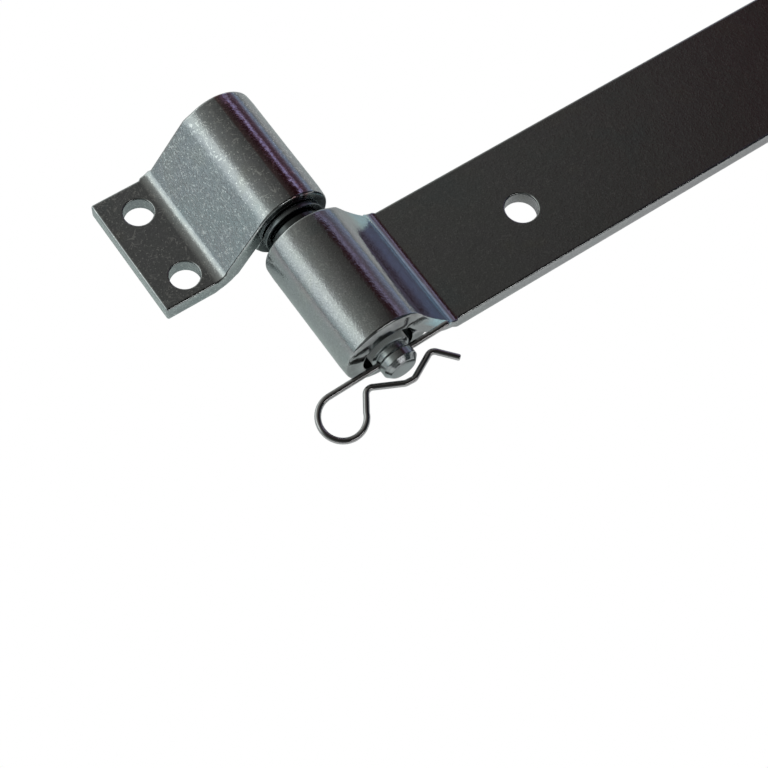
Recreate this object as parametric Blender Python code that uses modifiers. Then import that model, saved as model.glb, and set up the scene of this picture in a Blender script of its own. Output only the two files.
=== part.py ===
"""Strap hinge with rolled knuckles, a stepped pin and a spring clip. Metres, +Z up.

+X runs along the strap to its far end, and +Y runs along the pin, from its clip end to its welded end.
The origin is on the underside of the bracket's flange, between the two bolt holes.
Every profile below is laid out about the pin's axis, in millimetres, then moved to that origin.
"""
import bpy
import bmesh
from math import acos, atan2, cos, degrees, pi, radians, sin, tan
from mathutils import Matrix, Vector

MM = 0.001
GAP = 0.3                      # clearance kept between two solids that touch on the real hinge

# Flat bar that both leaves are made from
BAR_WIDTH = 40.0
BAR_THICKNESS = 5.0
EDGE_ROUND = 0.5

# Strap leaf
STRAP_KNUCKLE_RADIUS = 13.0    # outside of the roll; the bore is this less the bar thickness
STRAP_TOP_Z = -6.8             # top of the strap, measured from the pin's axis
STRAP_LENGTH = 280.0           # pin axis to the strap's square end
STRAP_HOLE_RADIUS = 4.75
STRAP_FIRST_HOLE = 59.0
STRAP_HOLE_PITCH = 100.0
STRAP_HOLE_COUNT = 3
STRAP_FAR_EDGE_Y = 0.0         # the strap's edge next to the bracket

# Bracket leaf
KNUCKLE_SPACING = 6.0          # between the two knuckles' facing ends
BRACKET_KNUCKLE_RADIUS = 12.0
BRACKET_TOP_Z = -9.6
BRACKET_LENGTH = 40.0          # pin axis to the flange's square end
BRACKET_HOLE_RADIUS = 4.3
BRACKET_HOLE_X = -30.0
BRACKET_HOLE_PITCH = 24.0

# Both leaves
HOLE_OFFSET_Y = -1.0           # hole lines sit this far from the bar's centre line
CRANK_ANGLE = 53.0             # slope of the straight run between the flat bar and the roll
CRANK_BEND_RADIUS = 5.0        # inside radius of the bend between the flat and the slope
SEAM_GAP = 0.5                 # between the end of the roll and the slope it closes against
ROLL_END_SLANT = 20.0          # degrees further round that the inner edge of the roll's end reaches
ARC_STEP = 5.0                 # degrees per facet

# Hinge pin, from its welded end to its clip end
PIN_WELD_END_Y = 47.8
PIN_SEAT_RADIUS = 6.7
PIN_JOURNAL_RADIUS = 7.7
PIN_JOURNAL_END_Y = -36.0
PIN_SHOULDER_RADIUS = 5.8
PIN_GROOVE_START_Y = -41.2
PIN_GROOVE_RADIUS = 4.7
PIN_HEAD_START_Y = -43.2
PIN_HEAD_RADIUS = 5.2
PIN_HEAD_CHAMFER_Y = -45.7
PIN_CLIP_END_Y = -47.2
PIN_FACE_RADIUS = 3.8
CROSS_HOLE_Y = -42.7
CROSS_HOLE_RADIUS = 1.3
CROSS_HOLE_TILT = 3.0          # rise of the cross hole towards the strap

# Thrust washer and weld bead
WASHER_RADIUS = 9.2
WASHER_THICKNESS = 1.5
WELD_RADIUS = 8.4
WELD_HEIGHT = 1.3

# Spring clip, in its own plane: u along the straight leg, v away from it
WIRE_RADIUS = 0.9
CLIP_DROP = 12.0               # how far the clip's plane hangs below the horizontal
LEG_TIP_U = 17.4
LOOP_CENTRE_U = -20.6
LOOP_RADIUS = 6.4
LOOP_EXIT_ANGLE = 22.0
NECK = (-11.1, 3.2)
CREST_LEFT = (-1.5, 7.7)
CREST_RIGHT = (1.2, 7.9)
THROAT = (9.2, 3.8)
TIP = (14.7, 9.6)
CLIP_BEND_RADIUS = 2.0

# Home of the pin's axis in the part's frame
PIN_X = -BRACKET_HOLE_X
PIN_Z = BAR_THICKNESS - BRACKET_TOP_Z
BRACKET_MID_Y = KNUCKLE_SPACING + BAR_WIDTH / 2.0
PIN_SHIFT_Y = -(BRACKET_MID_Y + HOLE_OFFSET_Y)


def place(x, y, z):
    """A point given about the pin's axis in millimetres, in the part's frame in metres."""
    return Vector(((x + PIN_X) * MM, (y + PIN_SHIFT_Y) * MM, (z + PIN_Z) * MM))


def clear_scene():
    for item in list(bpy.data.objects):
        bpy.data.objects.remove(item, do_unlink=True)
    for group in list(bpy.data.collections):
        bpy.data.collections.remove(group)


def new_collection(name):
    group = bpy.data.collections.new(name)
    bpy.context.scene.collection.children.link(group)
    return group


def make_material(name, color, metallic, roughness):
    material = bpy.data.materials.new(name)
    material.use_nodes = True
    shader = material.node_tree.nodes["Principled BSDF"]
    shader.inputs["Base Color"].default_value = (color[0], color[1], color[2], 1.0)
    shader.inputs["Metallic"].default_value = metallic
    shader.inputs["Roughness"].default_value = roughness
    material.diffuse_color = (color[0], color[1], color[2], 1.0)
    return material


def arc(cx, cz, radius, start, end):
    """Points along an arc, both ends included, from start to end in degrees."""
    count = max(2, int(round(abs(end - start) / ARC_STEP)))
    points = []
    for i in range(count + 1):
        angle = radians(start + (end - start) * i / count)
        points.append((cx + radius * cos(angle), cz + radius * sin(angle)))
    return points


def leaf_outline(knuckle_radius, top_z, length):
    """Side view of a leaf whose flat runs towards +X: bar, bend, slope, and the roll around the pin."""
    bore = knuckle_radius - BAR_THICKNESS
    lean = 90.0 - CRANK_ANGLE
    normal = Vector((cos(radians(lean)), sin(radians(lean))))
    corner_x = (knuckle_radius - top_z * normal.y) / normal.x
    reach = CRANK_BEND_RADIUS * tan(radians(CRANK_ANGLE / 2.0))
    bend_x = corner_x + reach
    bend_z = top_z + CRANK_BEND_RADIUS
    outer_bend = CRANK_BEND_RADIUS + BAR_THICKNESS
    closing = degrees(acos(bore / knuckle_radius)) + degrees(SEAM_GAP / bore)
    roll_end = 360.0 + lean - closing

    outline = [(length, top_z)]
    outline += arc(bend_x, bend_z, CRANK_BEND_RADIUS, -90.0, -90.0 - CRANK_ANGLE)
    outline += arc(0.0, 0.0, knuckle_radius, lean, roll_end)
    outline += arc(0.0, 0.0, bore, roll_end + ROLL_END_SLANT, lean)
    outline += arc(bend_x, bend_z, outer_bend, -90.0 - CRANK_ANGLE, -90.0)
    outline.append((length, top_z - BAR_THICKNESS))
    return outline


def extrude_outline(name, outline, y_low, y_high):
    """Extrude a side view along Y with a filled 2D curve, and hand back a mesh object on the pin's axis."""
    curve = bpy.data.curves.new(name + "_outline", "CURVE")
    curve.dimensions = "2D"
    curve.fill_mode = "BOTH"
    curve.extrude = (y_high - y_low) / 2.0 * MM
    spline = curve.splines.new("POLY")
    spline.points.add(len(outline) - 1)
    for point, (x, z) in zip(spline.points, outline):
        point.co = (x * MM, z * MM, 0.0, 1.0)
    spline.use_cyclic_u = True
    holder = bpy.data.objects.new(name + "_outline", curve)
    bpy.context.scene.collection.objects.link(holder)
    bpy.context.view_layer.update()
    mesh = bpy.data.meshes.new_from_object(holder.evaluated_get(bpy.context.evaluated_depsgraph_get()))
    bpy.data.objects.remove(holder, do_unlink=True)
    mesh.name = name
    middle = (y_high + y_low) / 2.0 * MM
    mesh.transform(Matrix.Translation((0.0, middle, 0.0)) @ Matrix.Rotation(radians(90.0), 4, "X"))
    weld_mesh(mesh)
    return bpy.data.objects.new(name, mesh)


def weld_mesh(mesh):
    work = bmesh.new()
    work.from_mesh(mesh)
    bmesh.ops.remove_doubles(work, verts=work.verts, dist=0.000001)
    bmesh.ops.recalc_face_normals(work, faces=work.faces)
    work.to_mesh(mesh)
    work.free()


def cylinder_cutter(name, radius, start, end, segments):
    """A round cutter between two points, all in millimetres about the pin's axis."""
    start = Vector(start) * MM
    end = Vector(end) * MM
    along = end - start
    mesh = bpy.data.meshes.new(name)
    work = bmesh.new()
    bmesh.ops.create_cone(work, cap_ends=True, segments=segments, radius1=radius * MM, radius2=radius * MM,
                          depth=along.length)
    work.to_mesh(mesh)
    work.free()
    turn = along.to_track_quat("Z", "Y").to_matrix().to_4x4()
    mesh.transform(Matrix.Translation((start + end) / 2.0) @ turn)
    cutter = bpy.data.objects.new(name, mesh)
    cutter.display_type = "WIRE"
    cutter.hide_render = True
    return cutter


def cut(target, cutter):
    step = target.modifiers.new(cutter.name, "BOOLEAN")
    step.operation = "DIFFERENCE"
    step.solver = "EXACT"
    step.object = cutter


def round_edges(target, width):
    step = target.modifiers.new("edge_round", "BEVEL")
    step.width = width * MM
    step.segments = 2
    step.limit_method = "ANGLE"
    step.angle_limit = radians(50.0)
    step.use_clamp_overlap = True
    step.harden_normals = False


def smooth_shade(target):
    for face in target.data.polygons:
        face.use_smooth = True
    step = target.modifiers.new("split_sharp", "EDGE_SPLIT")
    step.split_angle = radians(35.0)
    step.show_viewport = False
    step.show_render = False


def turned(name, profile, segments):
    """Turn a (radius, y) profile about the pin's axis. It runs from the +Y end to the -Y end."""
    mesh = bpy.data.meshes.new(name)
    points = [(r * MM, 0.0, y * MM) for r, y in profile]
    edges = [(i, i + 1) for i in range(len(points) - 1)]
    mesh.from_pydata(points, edges, [])
    item = bpy.data.objects.new(name, mesh)
    step = item.modifiers.new("turn", "SCREW")
    step.axis = "Z"
    step.angle = 2.0 * pi
    step.steps = segments
    step.render_steps = segments
    step.use_merge_vertices = True
    step.merge_threshold = 0.000002
    step.use_smooth_shade = True
    bpy.context.scene.collection.objects.link(item)
    bpy.context.view_layer.update()
    shape = bpy.data.meshes.new_from_object(item.evaluated_get(bpy.context.evaluated_depsgraph_get()))
    bpy.data.objects.remove(item, do_unlink=True)
    shape.name = name
    shape.transform(Matrix.Rotation(radians(-90.0), 4, "X"))
    weld_mesh(shape)
    return bpy.data.objects.new(name, shape)


def fillet(before, corner, after, radius, step_degrees):
    """Points of the rounded corner between two straight runs."""
    corner = Vector(corner)
    way_in = (Vector(before) - corner).normalized()
    way_out = (Vector(after) - corner).normalized()
    half = acos(max(-1.0, min(1.0, way_in.dot(way_out)))) / 2.0
    reach = radius / tan(half)
    centre = corner + (way_in + way_out).normalized() * (radius / sin(half))
    start = corner + way_in * reach - centre
    end = corner + way_out * reach - centre
    first = atan2(start.y, start.x)
    sweep = atan2(end.y, end.x) - first
    while sweep > pi:
        sweep -= 2.0 * pi
    while sweep < -pi:
        sweep += 2.0 * pi
    count = max(3, int(round(abs(degrees(sweep)) / step_degrees)))
    points = []
    for i in range(count + 1):
        angle = first + sweep * i / count
        points.append((centre.x + radius * cos(angle), centre.y + radius * sin(angle)))
    return points


def clip_path():
    """Centre line of the spring clip, from the tip of its straight leg to its turned-out end."""
    centre = Vector((LOOP_CENTRE_U, LOOP_RADIUS))
    path = [(LEG_TIP_U, 0.0), (8.0, 0.0), (0.0, 0.0), (-10.0, 0.0)]
    exit_angle = LOOP_EXIT_ANGLE
    count = 30
    for i in range(count + 1):
        angle = radians(-90.0 - (270.0 - exit_angle) * i / count)
        path.append((centre.x + LOOP_RADIUS * cos(angle), centre.y + LOOP_RADIUS * sin(angle)))
    leave = path[-1]
    path += fillet(leave, NECK, CREST_LEFT, CLIP_BEND_RADIUS, 15.0)
    path += fillet(NECK, CREST_LEFT, CREST_RIGHT, CLIP_BEND_RADIUS, 12.0)
    path += fillet(CREST_LEFT, CREST_RIGHT, THROAT, CLIP_BEND_RADIUS, 12.0)
    path += fillet(CREST_RIGHT, THROAT, TIP, CLIP_BEND_RADIUS, 15.0)
    path.append(TIP)
    return path


def clip_axes():
    """Unit vectors along the clip's straight leg and away from it, in the clip's plane."""
    tilt = radians(CROSS_HOLE_TILT)
    leg = Vector((cos(tilt), 0.0, sin(tilt)))
    rise = Vector((-sin(tilt), 0.0, cos(tilt)))
    drop = radians(CLIP_DROP)
    away = Vector((0.0, -cos(drop), 0.0)) - rise * sin(drop)
    return leg, away


def bent_wire(name, path, radius):
    leg, away = clip_axes()
    curve = bpy.data.curves.new(name + "_path", "CURVE")
    curve.dimensions = "3D"
    curve.bevel_depth = radius * MM
    curve.bevel_resolution = 3
    curve.use_fill_caps = True
    spline = curve.splines.new("POLY")
    spline.points.add(len(path) - 1)
    for point, (u, v) in zip(spline.points, path):
        spot = (leg * u + away * v) * MM
        point.co = (spot.x, spot.y, spot.z, 1.0)
    holder = bpy.data.objects.new(name + "_path", curve)
    bpy.context.scene.collection.objects.link(holder)
    bpy.context.view_layer.update()
    mesh = bpy.data.meshes.new_from_object(holder.evaluated_get(bpy.context.evaluated_depsgraph_get()))
    bpy.data.objects.remove(holder, do_unlink=True)
    mesh.name = name
    weld_mesh(mesh)
    return bpy.data.objects.new(name, mesh)


def finish(item, group, material, origin):
    item.data.materials.clear()
    item.data.materials.append(material)
    for face in item.data.polygons:
        face.material_index = 0
    item.location = origin
    group.objects.link(item)


def hole_cutters(prefix, group, origin, spots, radius, z_low, z_high):
    cutters = []
    for number, (x, y) in enumerate(spots):
        hole_name = prefix + "_hole_" + str(number + 1)
        cutter = cylinder_cutter(hole_name, radius, (x, y, z_low), (x, y, z_high), 40)
        cutter.location = origin
        group.objects.link(cutter)
        cutters.append(cutter)
    return cutters


def build():
    clear_scene()
    parts = new_collection("strap_hinge")
    tools = new_collection("cutters")
    tools.hide_render = True
    plated = make_material("zinc_plated_bar", (0.62, 0.63, 0.64), 1.0, 0.33)
    strap_steel = make_material("zinc_plated_strap", (0.60, 0.62, 0.63), 1.0, 0.33)
    pin_steel = make_material("zinc_plated_pin", (0.56, 0.58, 0.58), 1.0, 0.28)
    washer_steel = make_material("zinc_plated_washer", (0.58, 0.60, 0.61), 1.0, 0.3)
    weld_steel = make_material("weld_metal", (0.45, 0.46, 0.47), 1.0, 0.45)
    spring_steel = make_material("bright_spring_wire", (0.70, 0.70, 0.70), 1.0, 0.12)
    axis_home = place(0.0, 0.0, 0.0)

    # Strap leaf: long flat bar with three bolt holes, rolled around the pin's journal
    near_y = STRAP_FAR_EDGE_Y - BAR_WIDTH
    strap = extrude_outline("strap_leaf", leaf_outline(STRAP_KNUCKLE_RADIUS, STRAP_TOP_Z, STRAP_LENGTH),
                            near_y, STRAP_FAR_EDGE_Y)
    hole_y = (near_y + STRAP_FAR_EDGE_Y) / 2.0 + HOLE_OFFSET_Y
    spots = [(STRAP_FIRST_HOLE + STRAP_HOLE_PITCH * i, hole_y) for i in range(STRAP_HOLE_COUNT)]
    finish(strap, parts, strap_steel, axis_home)
    round_edges(strap, EDGE_ROUND)
    under = STRAP_TOP_Z - BAR_THICKNESS
    z_low = under - 2.0
    z_high = STRAP_TOP_Z + 2.0
    for cutter in hole_cutters("strap", tools, axis_home, spots, STRAP_HOLE_RADIUS, z_low, z_high):
        cut(strap, cutter)

    # Bracket leaf: short flange with two bolt holes, the same section turned the other way
    bracket_low = STRAP_FAR_EDGE_Y + KNUCKLE_SPACING
    bracket_high = bracket_low + BAR_WIDTH
    mirrored = [(-x, z) for x, z in leaf_outline(BRACKET_KNUCKLE_RADIUS, BRACKET_TOP_Z, BRACKET_LENGTH)]
    mirrored.reverse()
    bracket = extrude_outline("bracket_leaf", mirrored, bracket_low, bracket_high)
    middle = BRACKET_MID_Y + HOLE_OFFSET_Y
    half = BRACKET_HOLE_PITCH / 2.0
    spots = [(BRACKET_HOLE_X, middle - half), (BRACKET_HOLE_X, middle + half)]
    finish(bracket, parts, plated, axis_home)
    round_edges(bracket, EDGE_ROUND)
    under = BRACKET_TOP_Z - BAR_THICKNESS
    for cutter in hole_cutters("bracket", tools, axis_home, spots, BRACKET_HOLE_RADIUS, under - 2.0,
                               BRACKET_TOP_Z + 2.0):
        cut(bracket, cutter)

    # Thrust washer between the pin's journal and the bracket's knuckle
    washer_high = bracket_low - GAP
    washer_low = washer_high - WASHER_THICKNESS
    washer_bore = PIN_SEAT_RADIUS + GAP
    ease = 0.25
    washer = turned("thrust_washer", [(washer_bore, washer_high), (WASHER_RADIUS - ease, washer_high),
                                      (WASHER_RADIUS, washer_high - ease), (WASHER_RADIUS, washer_low + ease),
                                      (WASHER_RADIUS - ease, washer_low), (washer_bore, washer_low),
                                      (washer_bore, washer_high)], 64)
    finish(washer, parts, washer_steel, axis_home)

    # Pin: seat in the bracket, journal in the strap, then shoulder, clip groove and chamfered head
    journal_y = washer_low - GAP
    pin = turned("hinge_pin", [(0.0, PIN_WELD_END_Y), (PIN_SEAT_RADIUS - 0.6, PIN_WELD_END_Y),
                               (PIN_SEAT_RADIUS, PIN_WELD_END_Y - 0.6), (PIN_SEAT_RADIUS, journal_y),
                               (PIN_JOURNAL_RADIUS - 0.4, journal_y), (PIN_JOURNAL_RADIUS, journal_y - 0.4),
                               (PIN_JOURNAL_RADIUS, PIN_JOURNAL_END_Y + 0.5),
                               (PIN_JOURNAL_RADIUS - 0.5, PIN_JOURNAL_END_Y),
                               (PIN_SHOULDER_RADIUS, PIN_JOURNAL_END_Y),
                               (PIN_SHOULDER_RADIUS, PIN_GROOVE_START_Y + 0.4),
                               (PIN_SHOULDER_RADIUS - 0.4, PIN_GROOVE_START_Y),
                               (PIN_GROOVE_RADIUS, PIN_GROOVE_START_Y), (PIN_GROOVE_RADIUS, PIN_HEAD_START_Y),
                               (PIN_HEAD_RADIUS - 0.2, PIN_HEAD_START_Y),
                               (PIN_HEAD_RADIUS, PIN_HEAD_START_Y - 0.4),
                               (PIN_HEAD_RADIUS, PIN_HEAD_CHAMFER_Y), (PIN_FACE_RADIUS, PIN_CLIP_END_Y),
                               (0.0, PIN_CLIP_END_Y)], 64)
    finish(pin, parts, pin_steel, axis_home)
    leg, away = clip_axes()
    middle = Vector((0.0, CROSS_HOLE_Y, 0.0))
    drill_low = middle - leg * 10.0
    drill_high = middle + leg * 10.0
    drill = cylinder_cutter("clip_cross_hole", CROSS_HOLE_RADIUS, drill_low, drill_high, 24)
    drill.location = axis_home
    tools.objects.link(drill)
    cut(pin, drill)

    # Weld bead that holds the pin's far end to the bracket's knuckle
    weld_low = bracket_high + GAP
    weld_bore = PIN_SEAT_RADIUS + GAP
    weld_top = weld_low + WELD_HEIGHT
    weld = turned("pin_weld", [(weld_bore, weld_top), (weld_bore + 0.4, weld_top - 0.05),
                               (WELD_RADIUS - 0.45, weld_top - 0.45), (WELD_RADIUS - 0.1, weld_low + 0.4),
                               (WELD_RADIUS, weld_low), (weld_bore, weld_low), (weld_bore, weld_top)], 48)
    finish(weld, parts, weld_steel, axis_home)

    # Spring clip through the cross hole; its origin is on its straight leg, where it swings
    clip = bent_wire("r_clip", clip_path(), WIRE_RADIUS)
    finish(clip, parts, spring_steel, place(0.0, CROSS_HOLE_Y, 0.0))

    for item in parts.objects:
        smooth_shade(item)
    bpy.context.view_layer.update()


build()
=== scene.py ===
"""Looks for the strap hinge: smooth rolled leaves, a turned pin, a washer, a weld bead and a wire clip.

Profiles are laid out in millimetres about the pin's axis, as the CAD is, then moved to the part's frame.
"""

from math import acos, atan2, cos, degrees, pi, radians, sin, sqrt, tan

import bmesh
import bpy
from mathutils import Matrix, Vector, noise


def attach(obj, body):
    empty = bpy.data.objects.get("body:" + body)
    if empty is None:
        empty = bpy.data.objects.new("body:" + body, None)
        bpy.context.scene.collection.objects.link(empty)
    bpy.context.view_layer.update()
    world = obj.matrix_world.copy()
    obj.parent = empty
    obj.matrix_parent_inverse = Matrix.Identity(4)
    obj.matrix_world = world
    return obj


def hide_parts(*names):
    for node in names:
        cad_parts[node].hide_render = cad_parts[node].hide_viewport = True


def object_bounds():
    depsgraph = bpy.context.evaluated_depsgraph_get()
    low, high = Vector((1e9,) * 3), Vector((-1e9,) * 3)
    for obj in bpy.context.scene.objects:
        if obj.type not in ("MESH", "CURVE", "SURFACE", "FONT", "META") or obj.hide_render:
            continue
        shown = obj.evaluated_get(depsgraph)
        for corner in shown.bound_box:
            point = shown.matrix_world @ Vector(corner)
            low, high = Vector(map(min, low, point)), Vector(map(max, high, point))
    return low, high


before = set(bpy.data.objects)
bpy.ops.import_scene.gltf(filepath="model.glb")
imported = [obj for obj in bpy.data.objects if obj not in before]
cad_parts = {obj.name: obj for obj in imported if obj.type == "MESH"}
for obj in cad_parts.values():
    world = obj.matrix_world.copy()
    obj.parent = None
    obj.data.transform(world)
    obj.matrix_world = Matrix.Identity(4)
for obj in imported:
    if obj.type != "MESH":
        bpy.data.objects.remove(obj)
cad_low, cad_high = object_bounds()

MM = 0.001

# The bar that both leaves are made of
BAR_WIDTH = 40.0
BAR_THICKNESS = 5.0
HALF_WIDTH = BAR_WIDTH / 2.0
HALF_THICKNESS = BAR_THICKNESS / 2.0
EDGE_TOP = 0.75  # rounding of the bar's edges on its outer side
EDGE_BOTTOM = 0.45  # and on its inner side
EDGE_STEPS = 5
END_ROUND = 0.6  # rounding of a leaf's square end
ROLL_END_ROUND = 0.25  # rounding of the roll's tip

# The leaves: radii are of a knuckle's outside, heights and lengths are from the pin's axis
STRAP_RADIUS = 13.0
STRAP_TOP_Z = -6.8
STRAP_LENGTH = 280.0
STRAP_HOLES = (59.0, 159.0, 259.0)
STRAP_HOLE_RADIUS = 4.75
STRAP_BEND_RADIUS = 5.0
STRAP_SLOPE_BOW = 10.0  # degrees that the slope turns through between roll and bend
STRAP_PATCH = 8.0  # half the side of the square mesh patch round a hole
STRAP_BULGE = (1.0, 1.0)  # how much rolling widens each edge of the bar
BRACKET_RADIUS = 12.0
BRACKET_TOP_Z = -9.6
BRACKET_LENGTH = 40.0
BRACKET_HOLE_X = 30.0
BRACKET_HOLE_RADIUS = 4.3
BRACKET_HOLE_PITCH = 24.0
BRACKET_BEND_RADIUS = 5.0  # above 5.1 the bend runs into the hole patches
BRACKET_SLOPE_BOW = 0.0
BRACKET_PATCH = 5.15
BRACKET_BULGE = (0.35, 1.0)
HOLE_CELLS = 12
KNUCKLE_SPACING = 6.0
HOLE_OFFSET_Y = -1.0
CRANK_ANGLE = 53.0
SEAM_GAP = -0.3  # how far the roll's tip stands off the slope; below 0 it presses in
ROLL_END_SLANT = 20.0  # degrees that the roll's tip leans
SLANT_STATIONS = 16
ROLL_STEPS = 110
SLOPE_STEPS = 12
BEND_STEPS = 24
FLAT_STEP = 12.0  # spacing of stations up to the last hole
END_STEP = 10.0  # and past it
SPARE_LENGTH = 4.0  # what may be left over before one more station is added
END_STATIONS = (1.15, 1.0, 0.8, 0.6, 0.4, 0.2, 0.08, 0.0)  # in END_ROUNDs from the square end

# What rolling does to the bar: its edges widen on the inner side and sink on the outer side. Starts and spans
# are shares of the half width.
WIDENING = 2.1
WIDENING_START = 0.55
WIDENING_SPAN = 0.45
SINKING = 0.32
SINKING_START = 0.80
SINKING_SPAN = 0.20
FULL_SHADE_BEND = 0.25  # bend at which a flank of the roll is wholly sheared and in full painted shade
WAVE_HEIGHT = 0.05
WAVE_SCALE = (0.09, 0.07, 0.09)
FLAT_SHARE = 0.25  # how much of the wave a flat keeps

# A punched hole: rounded lips, and a wall that widens towards the underside
LIP_TOP = 0.45
LIP_BOTTOM = 0.25
LIP_TOP_STEPS = 5
LIP_BOTTOM_STEPS = 4
WALL_SPREAD = 0.1

# Pin, washer and weld
PIN_X = 30.0
PIN_Z = 14.6
PIN_SHIFT_Y = -25.0
PIN_HOME = Vector((PIN_X, PIN_SHIFT_Y, PIN_Z))
SHOULDER = 5.8
SHOULDER_START = -36.5
SHOULDER_END = -41.02
TEETH = 64
TOOTH_DEPTH = 0.22
CROSS_HOLE_Y = -42.7
CROSS_HOLE_RADIUS = 1.3
CROSS_HOLE_TILT = 3.0
DRILL_LENGTH = 20.0
# Where the pin's painted shade begins: inside the bores and between the knuckles it is painted near black.
SHADE_START_Y = PIN_SHIFT_Y - 36.5
ROUND_STEPS = 4
WASHER_BORE = 7.0
WASHER_RADIUS = 9.2
WASHER_THICKNESS = 1.5
WASHER_PLAY = 0.3
WELD_BASE_Y = 46.3
WELD_HEIGHT = 1.3

# Clip: u runs along its straight leg, v away from it
WIRE_RADIUS = 0.9
WIRE_SIDES = 24
CLIP_DROP = 12.0
LEG_TIP_U = 17.4
LOOP_CENTRE_U = -20.6
LOOP_RADIUS = 6.4
LOOP_EXIT_ANGLE = 22.0
LOOP_STEPS = 64
NECK = (-11.1, 3.2)
CREST_LEFT = (-1.5, 7.7)
CREST_RIGHT = (1.2, 7.9)
THROAT = (9.2, 3.8)
TIP = (14.7, 9.6)
CLIP_BEND_RADIUS = 2.0
CLIP_BEND_STEP = 6.0  # degrees

# Camera, in millimetres in the part's frame, as solved from the photograph's outlines
CAMERA_STAND = (-121.55, -243.06, 447.59)
CAMERA_TARGET = (25.43, -70.27, 7.8)
CAMERA_ROLL = 6.323
CAMERA_LENS = 87.94
CAMERA_SENSOR = 36.0


def smooth(value):
    """Eases a value from 0 to 1."""
    value = max(0.0, min(1.0, value))
    return value * value * (3.0 - 2.0 * value)


# ---- meshes

def make_piece(name, shape, body, node, material):
    """A mesh object from points about the pin's axis in millimetres.

    shape is (points, faces, rim, shaded_zone, painted_reflections). The last three are what the materials
    read at each point:
    worn edge with a painted highlight along a leaf's bend, sheared flank with painted shade or pressed tooth
    with painted shade in its roots, and painted reflection colour. The last two may be None.
    """
    verts, faces, rim, shaded_zone, painted_reflections = shape
    mesh = bpy.data.meshes.new(name)
    mesh.from_pydata([(PIN_HOME + Vector(v)) * MM for v in verts], [], faces)
    mesh.update()
    wear = mesh.attributes.new("rim", "FLOAT", "POINT")
    wear.data.foreach_set("value", rim)
    dull = mesh.attributes.new("shaded_zone", "FLOAT", "POINT")
    dull.data.foreach_set("value", shaded_zone or [0.0] * len(verts))
    painted_reflection = mesh.attributes.new("painted_reflection", "FLOAT", "POINT")
    painted_reflection.data.foreach_set("value", painted_reflections or [0.0] * len(verts))
    piece = bpy.data.objects.new(name, mesh)
    bpy.context.scene.collection.objects.link(piece)
    fix_normals(piece)
    for face in mesh.polygons:
        face.use_smooth = True
    mesh.materials.append(material)
    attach(piece, body)
    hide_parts(node)
    return piece


def fix_normals(piece):
    """Turns every face's normal outwards."""
    work = bmesh.new()
    work.from_mesh(piece.data)
    bmesh.ops.recalc_face_normals(work, faces=work.faces)
    work.to_mesh(piece.data)
    work.free()


def leaf_stations(radius, top_z, length, bend_radius, bow, hole_xs, hole_half):
    """Stations along a leaf's centre line from the roll's tip to its square end.

    Each is (x, z, normal angle, bend), where bend is + where the outer side is stretched. Also returns, for
    each hole, the station numbers where its patch starts and ends.
    """
    bore = radius - BAR_THICKNESS
    lean = 90.0 - CRANK_ANGLE
    closing = degrees(acos(bore / radius)) + degrees(SEAM_GAP / bore)
    roll_end = 360.0 + lean - closing
    mid = radius - HALF_THICKNESS
    stations = []
    for i in range(ROLL_STEPS + 1):
        angle = roll_end + (lean - roll_end) * i / ROLL_STEPS
        ease = smooth(i / 6.0) * smooth((ROLL_STEPS - i) / 8.0 + 0.15)
        turn = radians(angle)
        stations.append((mid * cos(turn), mid * sin(turn), angle, ease * BAR_THICKNESS / mid))
    normal = Vector((cos(radians(lean)), sin(radians(lean))))
    corner_x = (radius - top_z * normal.y) / normal.x
    reach = bend_radius * tan(radians(CRANK_ANGLE / 2.0))
    bend_x = corner_x + reach
    bend_z = top_z + bend_radius
    bend_mid = bend_radius + HALF_THICKNESS
    slope_end = Vector((bend_x, bend_z)) - normal * bend_mid
    slope_start = Vector((stations[-1][0], stations[-1][1]))
    sag = (slope_end - slope_start).length * radians(bow) / 8.0
    for i in range(1, SLOPE_STEPS):
        share = i / SLOPE_STEPS
        spot = slope_start.lerp(slope_end, share) - normal * sag * 4.0 * share * (1.0 - share)
        stations.append((spot.x, spot.y, lean + bow * (share - 0.5), 0.0))
    for i in range(BEND_STEPS + 1):
        angle = lean + CRANK_ANGLE * i / BEND_STEPS
        ease = smooth(i / 5.0) * smooth((BEND_STEPS - i) / 5.0)
        turn = radians(angle)
        stations.append((bend_x - bend_mid * cos(turn), bend_z - bend_mid * sin(turn), angle,
                         -ease * BAR_THICKNESS / bend_mid))
    xs = []
    if hole_xs[0] - hole_half > bend_x + 5.0:
        xs = [bend_x + 1.0, bend_x + 3.0]
    spans = []
    for hole_x in hole_xs:
        while xs and hole_x - hole_half - xs[-1] > FLAT_STEP + SPARE_LENGTH:
            xs.append(xs[-1] + FLAT_STEP)
        first = len(stations) + len(xs)
        for i in range(HOLE_CELLS + 1):
            xs.append(hole_x - hole_half + 2.0 * hole_half * i / HOLE_CELLS)
        spans.append((first, first + HOLE_CELLS))
    while length - xs[-1] > END_STEP + SPARE_LENGTH:
        xs.append(xs[-1] + END_STEP)
    if length - END_ROUND - xs[-1] > 2.0:
        xs.append((length - END_ROUND + xs[-1]) / 2.0)
    for step in END_STATIONS:
        xs.append(length - END_ROUND * step)
    stations += [(x, top_z - HALF_THICKNESS, 90.0, 0.0) for x in xs]
    return stations, spans


def end_inset(distance, round_by):
    """How far the section draws in near an end, for a rounded end edge."""
    if distance >= round_by:
        return 0.0
    away = round_by - distance
    return round_by - sqrt(max(0.0, round_by * round_by - away * away))


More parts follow.
